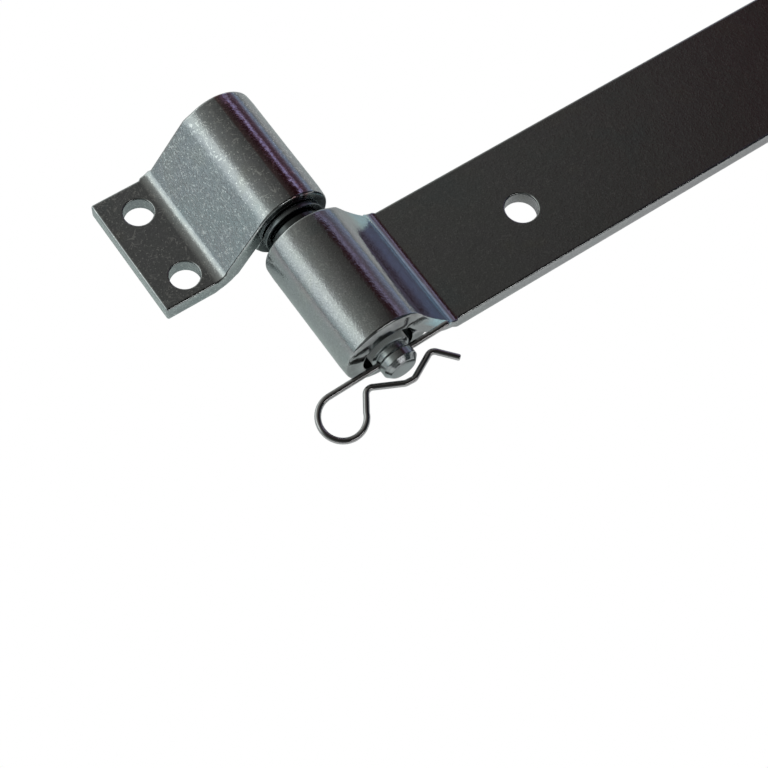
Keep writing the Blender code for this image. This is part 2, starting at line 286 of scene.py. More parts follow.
def section_points(y_lines):
    """Points round the bar's section as (side, position, wear): the top, an edge, the bottom, the other edge.

    Also returns the number of the first point underneath.
    """
    top_edge = HALF_THICKNESS - EDGE_TOP
    bottom_edge = -HALF_THICKNESS + EDGE_BOTTOM
    quarter = [pi / 2.0 * i / EDGE_STEPS for i in range(EDGE_STEPS + 1)]
    flank = (0.3, 0.5, 0.7)
    ring = [(HALF_THICKNESS, y, 0.0) for y in y_lines]
    for angle in quarter:
        ring.append((top_edge + EDGE_TOP * cos(angle), HALF_WIDTH - EDGE_TOP + EDGE_TOP * sin(angle), 1.0))
    for share in flank:
        ring.append((top_edge + (bottom_edge - top_edge) * share, HALF_WIDTH, 0.25))
    for angle in quarter:
        ring.append((bottom_edge - EDGE_BOTTOM * sin(angle),
                     HALF_WIDTH - EDGE_BOTTOM + EDGE_BOTTOM * cos(angle), 1.0))
    first_bottom = len(ring)
    ring += [(-HALF_THICKNESS, y, 0.0) for y in reversed(y_lines)]
    for angle in quarter:
        ring.append((bottom_edge - EDGE_BOTTOM * cos(angle),
                     -HALF_WIDTH + EDGE_BOTTOM - EDGE_BOTTOM * sin(angle), 1.0))
    for share in flank:
        ring.append((bottom_edge + (top_edge - bottom_edge) * share, -HALF_WIDTH, 0.25))
    for angle in quarter:
        ring.append((top_edge + EDGE_TOP * sin(angle), -HALF_WIDTH + EDGE_TOP - EDGE_TOP * cos(angle), 1.0))
    return ring, first_bottom


def shape_section(t, y, bend, end_distance, round_by, bulge):
    """Moves a section point for what rolling does to a bar's edges, and draws it in at an end."""
    share = min(1.0, abs(y) / HALF_WIDTH)
    near_edge = smooth((share - WIDENING_START) / WIDENING_SPAN)
    side = 1.0 if y > 0.0 else -1.0
    y -= side * near_edge * bend * t / BAR_THICKNESS * WIDENING * bulge[0 if side < 0 else 1]
    if bend > 0.0:
        sunk = smooth((share - SINKING_START) / SINKING_SPAN)
        t -= SINKING * bend * sunk * (1.0 if t > 0.0 else 0.25)
    inset = end_inset(end_distance, round_by)
    if inset > 0.0:
        t *= (HALF_THICKNESS - inset) / HALF_THICKNESS
        y *= (HALF_WIDTH - inset) / HALF_WIDTH
    return t, y


def patch_lines(y_lines, hole_y, patch_half):
    """The numbers of the lines that cross a hole's patch."""
    return [i for i, y in enumerate(y_lines) if abs(y - hole_y) <= patch_half + 0.001]


def patch_loop(start, end, low, high):
    """The (station, line) corners round a hole's patch."""
    loop = [(start, i) for i in range(low, high)]
    loop += [(k, high) for k in range(start, end)]
    loop += [(end, i) for i in range(high, low, -1)]
    loop += [(k, low) for k in range(end, start, -1)]
    return loop


def sweep_leaf(radius, stations, patch_half, y_lines, holes, hole_radius, y_middle, mirror, bulge, reflection_rule):
    """Sweeps the bar's section along the stations, and joins the hole walls into the flat."""
    ring, first_bottom = section_points(y_lines)
    count = len(ring)
    verts = []
    rim = []
    shaded_zone = []
    painted_reflections = []
    travelled = [0.0]
    for a, b in zip(stations, stations[1:]):
        travelled.append(travelled[-1] + sqrt((a[0] - b[0]) ** 2 + (a[1] - b[1]) ** 2))
    total = travelled[-1]
    roll_length = travelled[sum(1 for station in stations if station[3] > 0.0)]
    for number, (x, z, angle, bend) in enumerate(stations):
        nx = cos(radians(angle))
        nz = sin(radians(angle))
        end_distance = min(travelled[number], total - travelled[number])
        round_by = END_ROUND if travelled[number] > total / 2.0 else ROLL_END_ROUND
        wear_end = 1.0 if end_distance < round_by else 0.0
        painted_reflection = reflection_rule(angle, travelled[number] - roll_length)
        for t, y, wear in ring:
            t2, y2 = shape_section(t, y, bend, end_distance, round_by, bulge)
            spot = (x + nx * t2, y2 + y_middle, z + nz * t2)
            wave = WAVE_HEIGHT * noise.noise(Vector([a * b for a, b in zip(spot, WAVE_SCALE)]))
            t2 += wave * smooth(end_distance / 4.0) * (1.0 if bend > 0.0 else FLAT_SHARE)
            px, pz = x + nx * t2, z + nz * t2
            if number < SLANT_STATIONS:
                fade = 1.0 - number / SLANT_STATIONS
                turn = radians(angle + ROLL_END_SLANT * fade * (HALF_THICKNESS - t2) / BAR_THICKNESS)
                reach = radius - HALF_THICKNESS + t2
                px, pz = reach * cos(turn), reach * sin(turn)
            verts.append((px * mirror, y2 + y_middle, pz))
            # The bend term paints a highlight along the top of the crank's bend; the other terms are worn
            # edges.
            rim.append(max(wear, wear_end, min(1.0, -4.0 * bend) if t > 0.0 else 0.0))
            painted_reflections.append(painted_reflection if t > 0.0 else 0.0)
            # The roll's flanks are sheared faces, painted darker as shade.
            on_flank = abs(y) > HALF_WIDTH - 0.3 and bend > 0.0
            shaded_zone.append(min(1.0, bend / FULL_SHADE_BEND) if on_flank else 0.0)
    cut_away = set()
    width = len(y_lines)
    for (start, end), (hole_x, hole_y) in holes:
        for i in patch_lines(y_lines, hole_y, patch_half)[:-1]:
            for k in range(start, end):
                cut_away.add((k, i))
                cut_away.add((k, first_bottom + width - 2 - i))
    faces = []
    for k in range(len(stations) - 1):
        for i in range(count):
            if (k, i) in cut_away:
                continue
            j = (i + 1) % count
            faces.append((k * count + i, k * count + j, (k + 1) * count + j, (k + 1) * count + i))
    faces.append(tuple(range(count)))
    last = (len(stations) - 1) * count
    faces.append(tuple(last + i for i in reversed(range(count))))
    for (start, end), (hole_x, hole_y) in holes:
        lines = patch_lines(y_lines, hole_y, patch_half)
        loop = patch_loop(start, end, lines[0], lines[-1])
        top_loop = [k * count + i for k, i in loop]
        bottom_loop = [k * count + first_bottom + width - 1 - i for k, i in loop]
        add_hole(verts, faces, rim, top_loop, bottom_loop, hole_x * mirror, hole_y + y_middle, hole_radius)
    shaded_zone += [0.0] * (len(verts) - len(shaded_zone))
    painted_reflections += [0.0] * (len(verts) - len(painted_reflections))
    return verts, faces, rim, shaded_zone, painted_reflections


def crank_reflection(_angle, past_roll):
    """How much blue reflection is painted on the strap: most at the foot of its slope, in millimetres past
    the roll.
    """
    fade_in = smooth((past_roll - 2.0) / 9.0)
    fade_out = smooth((19.0 - past_roll) / 3.0)
    return fade_in * fade_out


def roll_reflection(angle, _past_roll):
    """The painted reflection along the top of the bracket's roll: up to 0.5 is a dark maroon band of painted
    shade and 1 is a bright violet streak of painted highlight.
    """
    stripe = smooth((angle - 91.0) / 3.0) * smooth((119.5 - angle) / 3.0)
    streak = smooth((5.0 - abs(angle - 107.0)) / 4.0)
    return 0.5 * stripe + 0.5 * streak


def add_hole(verts, faces, rim, top_loop, bottom_loop, x, y, radius):
    """Rings from a square patch on top, down a punched hole with rounded lips, to the patch underneath."""
    top_z = verts[top_loop[0]][2]
    bottom_z = verts[bottom_loop[0]][2]
    size = len(top_loop)
    start = atan2(verts[top_loop[0]][1] - y, verts[top_loop[0]][0] - x)
    nxt = atan2(verts[top_loop[1]][1] - y, verts[top_loop[1]][0] - x)
    turn = 1.0 if (nxt - start + pi) % (2.0 * pi) - pi > 0.0 else -1.0
    levels = [(radius + LIP_TOP + 0.25, top_z, 0.0), (radius + LIP_TOP + 0.06, top_z, 0.2)]
    for i in range(LIP_TOP_STEPS + 1):
        angle = pi / 2.0 * i / LIP_TOP_STEPS
        levels.append((radius + LIP_TOP - LIP_TOP * sin(angle), top_z - LIP_TOP + LIP_TOP * cos(angle), 1.0))
    levels.append((radius + 0.02, top_z - LIP_TOP - 0.25, 0.5))
    levels.append((radius + 0.05, (top_z + bottom_z) / 2.0, 0.3))
    levels.append((radius + WALL_SPREAD, bottom_z + LIP_BOTTOM + 0.2, 0.3))
    for i in range(LIP_BOTTOM_STEPS + 1):
        angle = pi / 2.0 * i / LIP_BOTTOM_STEPS
        levels.append((radius + WALL_SPREAD + LIP_BOTTOM - LIP_BOTTOM * cos(angle),
                       bottom_z + LIP_BOTTOM - LIP_BOTTOM * sin(angle), 1.0))
    levels.append((radius + WALL_SPREAD + LIP_BOTTOM + 0.2, bottom_z, 0.0))
    previous = list(top_loop)
    for ring_radius, z, wear in levels:
        current = []
        for i in range(size):
            angle = start + turn * 2.0 * pi * i / size
            wobble = 1.0 + 0.004 * sin(3.0 * angle + 0.7) * (1.0 if wear > 0.2 else 0.0)
            current.append(len(verts))
            verts.append((x + ring_radius * wobble * cos(angle), y + ring_radius * wobble * sin(angle), z))
            rim.append(wear)
        for i in range(size):
            j = (i + 1) % size
            faces.append((previous[i], previous[j], current[j], current[i]))
        previous = current
    for i in range(size):
        j = (i + 1) % size
        faces.append((previous[i], previous[j], bottom_loop[j], bottom_loop[i]))


def lathe(profile, segments, shape=None):
    """Turns a (radius, y, wear) profile about the pin's axis. A radius of 0 closes an end.

    shape, where given, is a function of radius, y and angle that returns the moved radius and y.
    """
    verts = []
    rim = []
    faces = []
    rings = []
    for radius, y, wear in profile:
        if radius == 0.0:
            rings.append([len(verts)])
            verts.append((0.0, y, 0.0))
            rim.append(wear)
            continue
        current = []
        for i in range(segments):
            angle = 2.0 * pi * i / segments
            r2, y2 = (radius, y) if shape is None else shape(radius, y, angle)
            current.append(len(verts))
            verts.append((r2 * cos(angle), y2, r2 * sin(angle)))
            rim.append(wear)
        rings.append(current)
    for a, b in zip(rings, rings[1:]):
        for i in range(segments):
            j = (i + 1) % segments
            if len(a) == 1:
                faces.append((a[0], b[j], b[i]))
            elif len(b) == 1:
                faces.append((a[i], a[j], b[0]))
            else:
                faces.append((a[i], a[j], b[j], b[i]))
    return verts, faces, rim


def rounded(points, round_by):
    """A (radius, y) polyline with every corner between its ends rounded, as (radius, y, wear)."""
    result = [(points[0][0], points[0][1], 0.0)]
    for before, corner, after in zip(points, points[1:], points[2:]):
        corner_v = Vector(corner)
        way_in = Vector(before) - corner_v
        way_out = Vector(after) - corner_v
        size = min(round_by, way_in.length * 0.45, way_out.length * 0.45)
        start = corner_v + way_in.normalized() * size
        end = corner_v + way_out.normalized() * size
        lead = corner_v + way_in.normalized() * min(size * 1.5, way_in.length * 0.49)
        tail = corner_v + way_out.normalized() * min(size * 1.5, way_out.length * 0.49)
        result.append((lead.x, lead.y, 0.2))
        for i in range(ROUND_STEPS + 1):
            f = i / ROUND_STEPS
            spot = start.lerp(corner_v, f).lerp(corner_v.lerp(end, f), f)
            result.append((spot.x, spot.y, 1.0))
        result.append((tail.x, tail.y, 0.2))
    result.append((points[-1][0], points[-1][1], 0.0))
    return result


def close_ring(faces, profile_length, segments):
    """Joins a lathe's last ring to its first, for a washer or a bead."""
    last = (profile_length - 1) * segments
    for i in range(segments):
        j = (i + 1) % segments
        faces.append((last + i, last + j, j, i))


def fillet(before, corner, after, radius):
    """Points along the arc that rounds one corner of a path."""
    corner = Vector(corner)
    way_in = (Vector(before) - corner).normalized()
    way_out = (Vector(after) - corner).normalized()
    half = acos(max(-1.0, min(1.0, way_in.dot(way_out)))) / 2.0
    reach = radius / tan(half)
    centre = corner + (way_in + way_out).normalized() * (radius / sin(half))
    start = corner + way_in * reach - centre
    end = corner + way_out * reach - centre
    first = atan2(start.y, start.x)
    sweep = (atan2(end.y, end.x) - first + pi) % (2.0 * pi) - pi
    count = max(3, int(round(abs(degrees(sweep)) / CLIP_BEND_STEP)))
    points = []
    for i in range(count + 1):
        angle = first + sweep * i / count
        points.append((centre.x + radius * cos(angle), centre.y + radius * sin(angle)))
    return points


def clip_path():
    """Centre line of the spring clip, from the tip of its straight leg to its turned-out end."""
    path = [(LEG_TIP_U, 0.0), (LEG_TIP_U - 0.15, 0.0), (LEG_TIP_U - 0.4, 0.0)]
    path += [(14.0 - 3.0 * i, 0.0) for i in range(12)]
    for i in range(LOOP_STEPS + 1):
        angle = radians(-90.0 - (270.0 - LOOP_EXIT_ANGLE) * i / LOOP_STEPS)
        path.append((LOOP_CENTRE_U + LOOP_RADIUS * cos(angle), LOOP_RADIUS + LOOP_RADIUS * sin(angle)))
    corners = [path[-1], NECK, CREST_LEFT, CREST_RIGHT, THROAT, TIP]
    for before, corner, after in zip(corners, corners[1:], corners[2:]):
        path += fillet(before, corner, after, CLIP_BEND_RADIUS)
    last = Vector(path[-1])
    tip = Vector(TIP)
    length = (tip - last).length
    for share in (0.35, 0.7, 1.0 - 0.4 / length, 1.0 - 0.15 / length, 1.0):
        spot = last.lerp(tip, share)
        path.append((spot.x, spot.y))
    return path


def clip_axes():
    """The directions of the clip's straight leg and of its free side at rest."""
    tilt = radians(CROSS_HOLE_TILT)
    leg = Vector((cos(tilt), 0.0, sin(tilt)))
    rise = Vector((-sin(tilt), 0.0, cos(tilt)))
    drop = radians(CLIP_DROP)
    away = Vector((0.0, -cos(drop), 0.0)) - rise * sin(drop)
    return leg, away


def sweep_wire(path, radius, segments):
    """A round wire along the path, with its two cut ends slightly drawn in."""
    leg, away = clip_axes()
    across = leg.cross(away).normalized()
    home = Vector((0.0, CROSS_HOLE_Y, 0.0))
    spots = [home + leg * u + away * v for u, v in path]
    verts = []
    rim = []
    faces = []
    total = len(spots)
    for k, spot in enumerate(spots):
        ahead = spots[min(k + 1, total - 1)] - spots[max(k - 1, 0)]
        side = ahead.normalized().cross(across).normalized()
        draw_in = 0.78 if k in (0, total - 1) else 0.93 if k in (1, total - 2) else 1.0
        for i in range(segments):
            angle = 2.0 * pi * i / segments
            verts.append(tuple(spot + (side * cos(angle) + across * sin(angle)) * radius * draw_in))
            rim.append(0.0 if draw_in == 1.0 else 1.0)
    for k in range(total - 1):
        for i in range(segments):
            j = (i + 1) % segments
            faces.append((k * segments + i, k * segments + j, (k + 1) * segments + j, (k + 1) * segments + i))
    faces.append(tuple(reversed(range(segments))))
    faces.append(tuple((total - 1) * segments + i for i in range(segments)))
    return verts, faces, rim


# ---- materials

class Nodes:
    """Short calls for building one material's node tree. The scales are per metre of the object's space."""

    def __init__(self, name):
        self.material = bpy.data.materials.new(name)
        self.material.use_nodes = True
        self.tree = self.material.node_tree
        self.shader = self.tree.nodes["Principled BSDF"]
        self.object_space = self.tree.nodes.new("ShaderNodeTexCoord").outputs["Object"]

    def link(self, source, target):
        self.tree.links.new(source, target)

    def math(self, operation, a, b=None, clamp=False):
        node = self.tree.nodes.new("ShaderNodeMath")
        node.operation = operation
        node.use_clamp = clamp
        for socket, value in zip(node.inputs, (a, b)):
            if value is None:
                continue
            if isinstance(value, (int, float)):
                socket.default_value = value
            else:
                self.link(value, socket)
        return node.outputs[0]

    def mapped(self, scale, rotation=(0.0, 0.0, 0.0), offset=(0.0, 0.0, 0.0)):
        turn = self.tree.nodes.new("ShaderNodeMapping")
        turn.inputs["Rotation"].default_value = rotation
        turn.inputs["Location"].default_value = offset
        self.link(self.object_space, turn.inputs["Vector"])
        stretch = self.tree.nodes.new("ShaderNodeVectorMath")
        stretch.operation = "MULTIPLY"
        stretch.inputs[1].default_value = scale
        self.link(turn.outputs["Vector"], stretch.inputs[0])
        return stretch.outputs["Vector"]

    def noise(self, vector, scale, detail=2.0, rough=0.5, distortion=0.0):
        node = self.tree.nodes.new("ShaderNodeTexNoise")
        node.inputs["Scale"].default_value = scale
        node.inputs["Detail"].default_value = detail
        node.inputs["Roughness"].default_value = rough
        node.inputs["Distortion"].default_value = distortion
        self.link(vector, node.inputs["Vector"])
        return node.outputs["Fac"]

    def crystals(self, vector, scale):
        """Small facets that each tilt their own way, so that they glint one by one."""
        node = self.tree.nodes.new("ShaderNodeTexVoronoi")
        node.inputs["Scale"].default_value = scale
        self.link(vector, node.inputs["Vector"])
        return node.outputs["Distance"]

    def dots(self, vector, scale, size, keep):
        """Small round spots in some of the cells of a grid, for dust and pinholes."""
        node = self.tree.nodes.new("ShaderNodeTexVoronoi")
        node.inputs["Scale"].default_value = scale
        self.link(vector, node.inputs["Vector"])
        parts = self.tree.nodes.new("ShaderNodeSeparateColor")
        self.link(node.outputs["Color"], parts.inputs[0])
        chosen = self.math("GREATER_THAN", parts.outputs[0], keep)
        return self.math("MULTIPLY", self.math("LESS_THAN", node.outputs["Distance"], size), chosen)

    def ramp(self, fac, stops):
        node = self.tree.nodes.new("ShaderNodeValToRGB")
        elements = node.color_ramp.elements
        while len(elements) > 1:
            elements.remove(elements[-1])
        for i, (place, color) in enumerate(stops):
            element = elements[0] if i == 0 else elements.new(place)
            element.position = place
            tone = color if isinstance(color, tuple) else (color, color, color)
            element.color = (tone[0], tone[1], tone[2], 1.0)
        self.link(fac, node.inputs["Fac"])
        return node.outputs["Color"]

    def mix(self, kind, fac, a, b):
        node = self.tree.nodes.new("ShaderNodeMix")
        node.data_type = "RGBA"
        node.blend_type = kind
        for socket, value in ((node.inputs[0], fac), (node.inputs[6], a), (node.inputs[7], b)):
            if isinstance(value, (int, float)):
                socket.default_value = value
            elif isinstance(value, tuple):
                socket.default_value = (value[0], value[1], value[2], 1.0)
            else:
                self.link(value, socket)
        return node.outputs[2]

    def attribute(self, name):
        node = self.tree.nodes.new("ShaderNodeAttribute")
        node.attribute_name = name
        return node.outputs["Fac"]

    def bump(self, height, strength, distance, before=None):
        node = self.tree.nodes.new("ShaderNodeBump")
        node.inputs["Strength"].default_value = strength
        node.inputs["Distance"].default_value = distance
        self.link(height, node.inputs["Height"])
        if before is not None:
            self.link(before, node.inputs["Normal"])
        return node.outputs["Normal"]

    def scratches(self, angle, width, length_scale, across_scale, keep, offset):
        """Thin scratch lines along one direction, broken up into short lengths."""
        space = self.mapped((length_scale, across_scale, across_scale), (0.0, 0.0, angle), offset)
        lines = self.noise(space, 1.0, 1.0, 0.4, 0.05)
        away = self.math("ABSOLUTE", self.math("SUBTRACT", lines, 0.5))
        thin = self.math("SUBTRACT", 1.0, self.math("DIVIDE", away, width), clamp=True)
        patch = self.noise(self.mapped((1.0, 1.0, 1.0), (0.0, 0.0, 0.0), offset), 480.0, 2.0, 0.6)
        gate = self.ramp(patch, [(keep, 0.0), (keep + 0.05, 1.0)])
        return self.math("MULTIPLY", thin, gate)


SCRATCH_LAYERS = ((0.5, 0.016), (1.9, 0.014), (2.7, 0.012), (1.2, 0.012))  # direction and width
SCRATCH_TONE = (0.96, 0.98, 0.96)
STAIN_TONE = (0.66, 0.66, 0.68)
# Lightens worn edges, and is a painted highlight along the top of the crank's bend.
WORN_EDGE_AND_HIGHLIGHT_TONE = (0.70, 0.72, 0.71)
WORN_STEEL_TONE = (0.55, 0.58, 0.58)
# Tooth roots painted dark as shade between the teeth, crests painted lighter.
TOOTH_ROOT_SHADE_TONE = (0.05, 0.06, 0.06)
TOOTH_CREST_LIGHT_TONE = (0.50, 0.53, 0.52)
# Painted shade on the pin inside the bores and in the gap between the knuckles.
GAP_SHADE_TONE = (0.10, 0.11, 0.11)


def zinc_plate(name, tint, rough, grain, scratch_amount, seed, reflection_stops):
    """Zinc plate over rolled bar: clouding, crystal grain, scratches, dust, painted reflection colour,
    sheared flanks painted darker as shade, and worn edges with a painted highlight along the crank's bend.
    """
    n = Nodes(name)
    shift = (seed * 0.37, seed * 0.53, seed * 0.71)
    base = n.mapped((1.0, 1.0, 1.0), (0.3, 0.2, 0.5), shift)
    cloud = n.noise(base, 55.0, 4.0, 0.55, 0.4)
    cool = (tint[0] * 0.94, tint[1] * 1.00, tint[2] * 1.02)
    violet = (tint[0] * 1.00, tint[1] * 0.985, tint[2] * 1.01)
    warm = (tint[0] * 1.05, tint[1] * 1.03, tint[2] * 0.99)
    color = n.ramp(cloud, [(0.30, cool), (0.46, tint), (0.58, violet), (0.70, warm)])
    fine = n.noise(base, 2600.0, 3.0, 0.65)
    speck = n.ramp(fine, [(0.32, 0.72), (0.42, 0.95), (0.58, 1.0), (0.70, 1.35)])
    color = n.mix("MULTIPLY", 1.0, color, speck)
    stain = n.noise(base, 190.0, 5.0, 0.7, 1.2)
    dull = n.ramp(stain, [(0.56, 0.0), (0.74, 1.0)])
    color = n.mix("MULTIPLY", n.math("MULTIPLY", dull, 0.30), color, STAIN_TONE)
    lines = None
    for i, (angle, width) in enumerate(SCRATCH_LAYERS):
        spot = (seed + i * 1.7, seed * 0.6 + i, i * 0.9)
        layer = n.scratches(angle, width * 1.8, 110.0, 640.0, 0.56, spot)
        lines = layer if lines is None else n.math("MAXIMUM", lines, layer)
    lines = n.math("MULTIPLY", lines, scratch_amount)
    dust = n.math("MAXIMUM", n.dots(base, 1450.0, 0.24, 0.70), n.dots(base, 760.0, 0.17, 0.62))
    dust = n.math("MULTIPLY", dust, scratch_amount)
    lines = n.math("MAXIMUM", lines, dust)
    color = n.mix("MIX", lines, color, SCRATCH_TONE)
    edge = n.attribute("rim")
    # Worn edges, and a painted highlight along the top of the crank's bend, lighten the colour.
    edge_wear_and_bend_highlight = n.math("MULTIPLY", edge, n.ramp(n.noise(base, 420.0, 3.0, 0.6), [(0.35, 0.35), (0.62, 1.0)]))
    color = n.mix("MIX", n.math("MULTIPLY", edge_wear_and_bend_highlight, 0.4), color, WORN_EDGE_AND_HIGHLIGHT_TONE)
    shaded_zone = n.attribute("shaded_zone")
    # Sheared flanks of the roll are streaked and painted darker as shade.
    sheared_streaks_and_shade = n.ramp(n.noise(base, 330.0, 3.0, 0.6), [(0.34, 0.60), (0.66, 0.84)])
    color = n.mix("MULTIPLY", shaded_zone, color, sheared_streaks_and_shade)
    ragged = n.ramp(n.noise(base, 1100.0, 3.0, 0.6), [(0.30, 0.62), (0.70, 1.30)])
    # Painted reflection: a blue reflection on the strap's slope, a dark maroon band and a bright violet
    # streak on the bracket's roll.
    painted_reflection = n.math("MULTIPLY", n.attribute("painted_reflection"), ragged)
    color = n.mix("MULTIPLY", 1.0, color, n.ramp(painted_reflection, reflection_stops))
    n.link(color, n.shader.inputs["Base Color"])
    n.shader.inputs["Metallic"].default_value = 1.0
    patchy = n.noise(base, 320.0, 4.0, 0.6)
    gloss = n.ramp(patchy, [(0.32, rough * 0.82), (0.68, rough * 1.22)])
    gloss = n.mix("MIX", n.math("MULTIPLY", dull, 0.5), gloss, (rough + 0.14, rough + 0.14, rough + 0.14))
    gloss = n.mix("MIX", n.math("MULTIPLY", edge_wear_and_bend_highlight, 0.5), gloss, (rough * 0.8, rough * 0.8, rough * 0.8))
    n.link(gloss, n.shader.inputs["Roughness"])
    smooth_side = n.math("SUBTRACT", 1.0, n.math("MULTIPLY", shaded_zone, 0.85))
    normal = n.bump(n.math("MULTIPLY", n.noise(base, 2300.0, 2.0, 0.5), smooth_side), grain, 0.00006)
    grouped = n.ramp(n.noise(base, 1000.0), [(0.46, 0.3), (0.58, 1.0)])
    facets = n.math("MULTIPLY", n.crystals(base, 2400.0), grouped)
    normal = n.bump(n.math("MULTIPLY", facets, smooth_side), grain, 0.00009, normal)
    ripple = n.noise(n.mapped((1.0, 1.0, 1.0), (0.0, 0.0, 0.4), shift), 260.0, 3.0, 0.5)
    normal = n.bump(ripple, 0.25, 0.00014, normal)
    normal = n.bump(n.math("MULTIPLY", lines, -1.0), 0.15, 0.00003, normal)
    n.link(normal, n.shader.inputs["Normal"])
    return n.material


def turned_steel(name, tint, rough, ring_scale, ring_strength, shaded_beyond=None):
    """Turned and plated steel: fine rings around the pin's axis, worn edges, and teeth whose roots are
    painted dark as shade and whose crests are painted lighter.

    shaded_beyond is the Y in metres past which the steel is painted near black as shade inside the bores and
    between the knuckles.
    """
    n = Nodes(name)
    base = n.mapped((1.0, 1.0, 1.0), (0.1, 0.4, 0.2))
    cloud = n.noise(base, 160.0, 4.0, 0.6, 0.3)
    color = n.ramp(cloud, [(0.32, (tint[0] * 0.86, tint[1] * 0.92, tint[2] * 0.95)), (0.52, tint),
                           (0.70, (tint[0] * 1.10, tint[1] * 1.02, tint[2] * 1.08))])
    rings = n.noise(n.mapped((60.0, ring_scale, 60.0)), 1.0, 2.0, 0.6)
    color = n.mix("MULTIPLY", 1.0, color, n.ramp(rings, [(0.3, 0.78), (0.7, 1.12)]))
    edge = n.attribute("rim")
    color = n.mix("MIX", n.math("MULTIPLY", edge, 0.3), color, WORN_STEEL_TONE)
    teeth = n.attribute("shaded_zone")
    # Painted shade in the roots between the teeth, and lighter crests.
    tooth_light_and_shade = n.ramp(edge, [(0.35, TOOTH_ROOT_SHADE_TONE), (0.75, TOOTH_CREST_LIGHT_TONE)])
    color = n.mix("MIX", teeth, color, tooth_light_and_shade)
    # Past shaded_beyond the pin is painted near black as shade inside the bores and between the knuckles.
    if shaded_beyond is not None:
        axes = n.tree.nodes.new("ShaderNodeSeparateXYZ")
        n.link(n.object_space, axes.inputs[0])
        gap_shade = n.math("GREATER_THAN", axes.outputs["Y"], shaded_beyond)
        color = n.mix("MIX", gap_shade, color, GAP_SHADE_TONE)
    n.link(color, n.shader.inputs["Base Color"])
    n.link(n.math("SUBTRACT", 1.0, n.math("MULTIPLY", teeth, 0.8)), n.shader.inputs["Metallic"])
    n.link(n.ramp(cloud, [(0.3, rough * 0.8), (0.7, rough * 1.3)]), n.shader.inputs["Roughness"])
    normal = n.bump(rings, ring_strength, 0.00004)
    normal = n.bump(n.noise(base, 3000.0, 3.0, 0.7), 0.22, 0.00004, normal)
    n.link(normal, n.shader.inputs["Normal"])
    return n.material


def spring_wire(name):
    """Bright drawn wire with fine specks and dull patches."""
    n = Nodes(name)
    base = n.mapped((1.0, 1.0, 1.0), (0.2, 0.1, 0.6))
    cloud = n.noise(base, 300.0, 3.0, 0.6)
    color = n.ramp(cloud, [(0.3, (0.50, 0.49, 0.50)), (0.55, (0.57, 0.56, 0.56)), (0.75, (0.64, 0.64, 0.64))])
    specks = n.ramp(n.noise(base, 3500.0, 3.0, 0.7), [(0.26, 0.65), (0.40, 1.0)])
    color = n.mix("MULTIPLY", 1.0, color, specks)
    color = n.mix("MIX", n.math("MULTIPLY", n.attribute("rim"), 0.6), color, (0.42, 0.42, 0.43))
    n.link(color, n.shader.inputs["Base Color"])
    n.shader.inputs["Metallic"].default_value = 1.0
    n.link(n.ramp(cloud, [(0.3, 0.04), (0.7, 0.08)]), n.shader.inputs["Roughness"])
    n.link(n.bump(n.noise(base, 1800.0, 3.0, 0.6), 0.12, 0.00003), n.shader.inputs["Normal"])
    return n.material


def weld_metal(name):
    """Plated weld bead: duller, pitted and slightly scorched."""
    n = Nodes(name)
    base = n.mapped((1.0, 1.0, 1.0), (0.5, 0.1, 0.3))
    cloud = n.noise(base, 500.0, 4.0, 0.6)
    color = n.ramp(cloud, [(0.3, (0.34, 0.34, 0.36)), (0.5, (0.46, 0.47, 0.47)), (0.7, (0.52, 0.50, 0.46))])
    n.link(color, n.shader.inputs["Base Color"])
    n.shader.inputs["Metallic"].default_value = 1.0
    n.link(n.ramp(cloud, [(0.3, 0.34), (0.7, 0.5)]), n.shader.inputs["Roughness"])
    n.link(n.bump(n.noise(base, 2200.0, 4.0, 0.7), 0.5, 0.00008), n.shader.inputs["Normal"])
    return n.material


# ---- stage, light and camera

# The surroundings that the metal mirrors, as (degrees away from the centre direction, colour). The left one
# shows on faces turned towards -X, the right one on faces turned towards +X.
LEFT_CENTRE = (0.56, 0.05, 0.827)
LEFT_SKY = (
    (0, (0.028, 0.026, 0.026)), (10, (0.042, 0.040, 0.039)), (16, (0.060, 0.058, 0.055)),
    (25, (0.085, 0.082, 0.078)), (33, (0.112, 0.110, 0.105)), (38, (0.135, 0.134, 0.127)),
    (48, (0.185, 0.185, 0.175)), (57, (0.22, 0.225, 0.215)), (64, (0.26, 0.265, 0.25)),
    (70, (0.31, 0.32, 0.305)), (75.5, (0.40, 0.415, 0.40)), (80, (0.62, 0.65, 0.63)),
    (84, (0.90, 0.96, 0.93)), (88, (1.04, 1.11, 1.07)), (94, (1.04, 1.12, 1.09)),
    (99, (0.96, 1.04, 1.03)), (105, (0.86, 0.94, 0.94)), (109, (0.78, 0.86, 0.87)),
    (111.5, (0.68, 0.75, 0.76)), (113.5, (0.52, 0.59, 0.60)), (115, (0.475, 0.55, 0.56)),
    (180, (0.45, 0.525, 0.525)))
RIGHT_CENTRE = (0.567, 0.302, 0.766)
RIGHT_SKY = (
    (0, (0.034, 0.016, 0.018)), (9, (0.036, 0.013, 0.016)), (12, (0.046, 0.018, 0.022)),
    (14, (0.085, 0.055, 0.075)), (16.5, (0.23, 0.20, 0.30)), (20, (0.29, 0.25, 0.39)),
    (23, (0.20, 0.165, 0.235)), (26, (0.150, 0.118, 0.150)), (31, (0.150, 0.125, 0.160)),
    (35, (0.19, 0.185, 0.25)), (40, (0.25, 0.265, 0.36)), (46, (0.30, 0.345, 0.47)),
    (53, (0.31, 0.38, 0.47)), (60, (0.34, 0.41, 0.47)), (80, (0.40, 0.48, 0.50)),
    (180, (0.40, 0.48, 0.48)))


